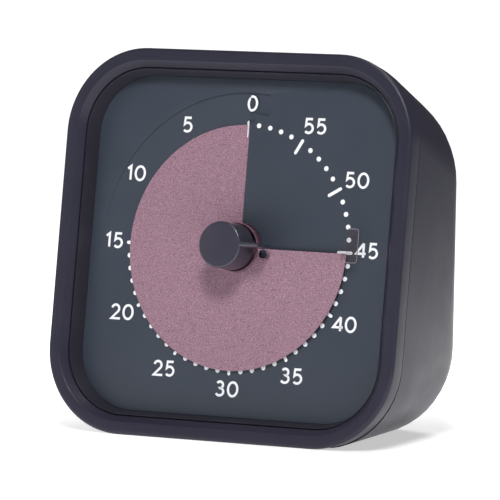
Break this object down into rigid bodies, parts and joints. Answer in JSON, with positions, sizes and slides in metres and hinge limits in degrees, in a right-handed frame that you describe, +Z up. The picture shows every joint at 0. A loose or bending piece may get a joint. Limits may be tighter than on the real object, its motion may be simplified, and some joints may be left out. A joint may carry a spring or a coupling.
{
  "type": "kitchen timer",
  "caption": "Square desk timer with a soft-cornered bezel, a knob and a coloured disk that rides a spiral ramp and slips behind the dial as time runs out.",
  "frame": {"origin": "middle of the footprint, on the surface the timer stands on", "axes": "+Z up, front towards -Y, +X to the right seen from the front"},
  "size_m": [0.0888, 0.054, 0.088],
  "materials": {
    "shell": "fine satin texture",
    "ring": "satin",
    "dial": "fine matt",
    "disk": "matt, finely speckled",
    "clear": "clear plastic",
    "knob": "glossy sides, satin front",
    "steel": "plain",
    "brass": "plain",
    "inner_plastic": "plain",
    "movement_plastic": "plain",
    "gear_plastic": "plain",
    "magnet": "sintered ferrite",
    "copper_wire": "enamelled wire",
    "board": "solder mask",
    "cell_can": "printed wrap",
    "switch_red": "satin"
  },
  "bodies": {
    "root": {"front_bezel": "shell", "inner_ring": "ring", "rear_shell": "shell", "dial_plate": "dial", "mounting_plate": "inner_plastic", "movement_front_case": "movement_plastic", "movement_rear_case": "movement_plastic", "stator": "steel", "coil": "copper_wire", "circuit_board": "board", "timing_crystal": "steel", "buzzer": "inner_plastic", "battery_cell": "cell_can", "battery_spring": "steel", "battery_contact": "steel", "alert_switch_body": "movement_plastic", "case_screws": "steel", "plate_screws": "steel", "movement_screws": "steel"},
    "knob": {"knob": "knob", "spindle": "steel", "clutch_washer": "brass"},
    "disk": {"time_disk": "disk", "disk_hub": "disk", "edge_tab": "clear"},
    "centre_wheel": {"centre_wheel": "gear_plastic"},
    "third_wheel": {"third_wheel": "gear_plastic"},
    "seconds_wheel": {"seconds_wheel": "gear_plastic"},
    "rotor": {"rotor": "magnet"},
    "alert_switch": {"alert_switch": "switch_red"},
    "battery_door": {"battery_door": "shell"}
  },
  "joints": [
    {"name": "knob_turn", "type": "hinge", "parent": "root", "child": "knob", "pos_m": [0, -0.01565, 0.04338], "axis": [0, -0.9914, 0.1305], "range_deg": [-270, 90]},
    {"name": "disk_ride", "type": "slide", "parent": "knob", "child": "disk", "axis": [0, -0.9914, 0.1305], "range_m": [-0.00151, 0.00051]},
    {"name": "third_wheel_spin", "type": "hinge", "parent": "root", "child": "third_wheel", "pos_m": [0.00544, -0.00451, 0.05141], "axis": [0, -0.9914, 0.1305], "continuous": true},
    {"name": "centre_wheel_spin", "type": "hinge", "parent": "root", "child": "centre_wheel", "pos_m": [0, -0.00673, 0.0422], "axis": [0, -0.9914, 0.1305], "continuous": true},
    {"name": "seconds_wheel_spin", "type": "hinge", "parent": "root", "child": "seconds_wheel", "pos_m": [0.0143, -0.00273, 0.0496], "axis": [0, -0.9914, 0.1305], "continuous": true},
    {"name": "rotor_spin", "type": "hinge", "parent": "root", "child": "rotor", "pos_m": [0.0143, -0.00189, 0.04067], "axis": [0, -0.9914, 0.1305], "continuous": true},
    {"name": "alert_switch_slide", "type": "slide", "parent": "root", "child": "alert_switch", "axis": [1, 0, 0], "range_m": [0, 0.003]},
    {"name": "battery_door_hinge", "type": "hinge", "parent": "root", "child": "battery_door", "pos_m": [0, 0.0256, 0.0158], "axis": [-1, 0, 0], "range_deg": [0, 90]}
  ],
  "couplings": [
    {"joint": "disk_ride", "follows": "knob_turn", "m_per_rad": 0.00031831},
    {"joint": "centre_wheel_spin", "follows": "rotor_spin", "ratio": -0.0027778},
    {"joint": "third_wheel_spin", "follows": "rotor_spin", "ratio": 0.020833},
    {"joint": "seconds_wheel_spin", "follows": "rotor_spin", "ratio": -0.16667}
  ]
}
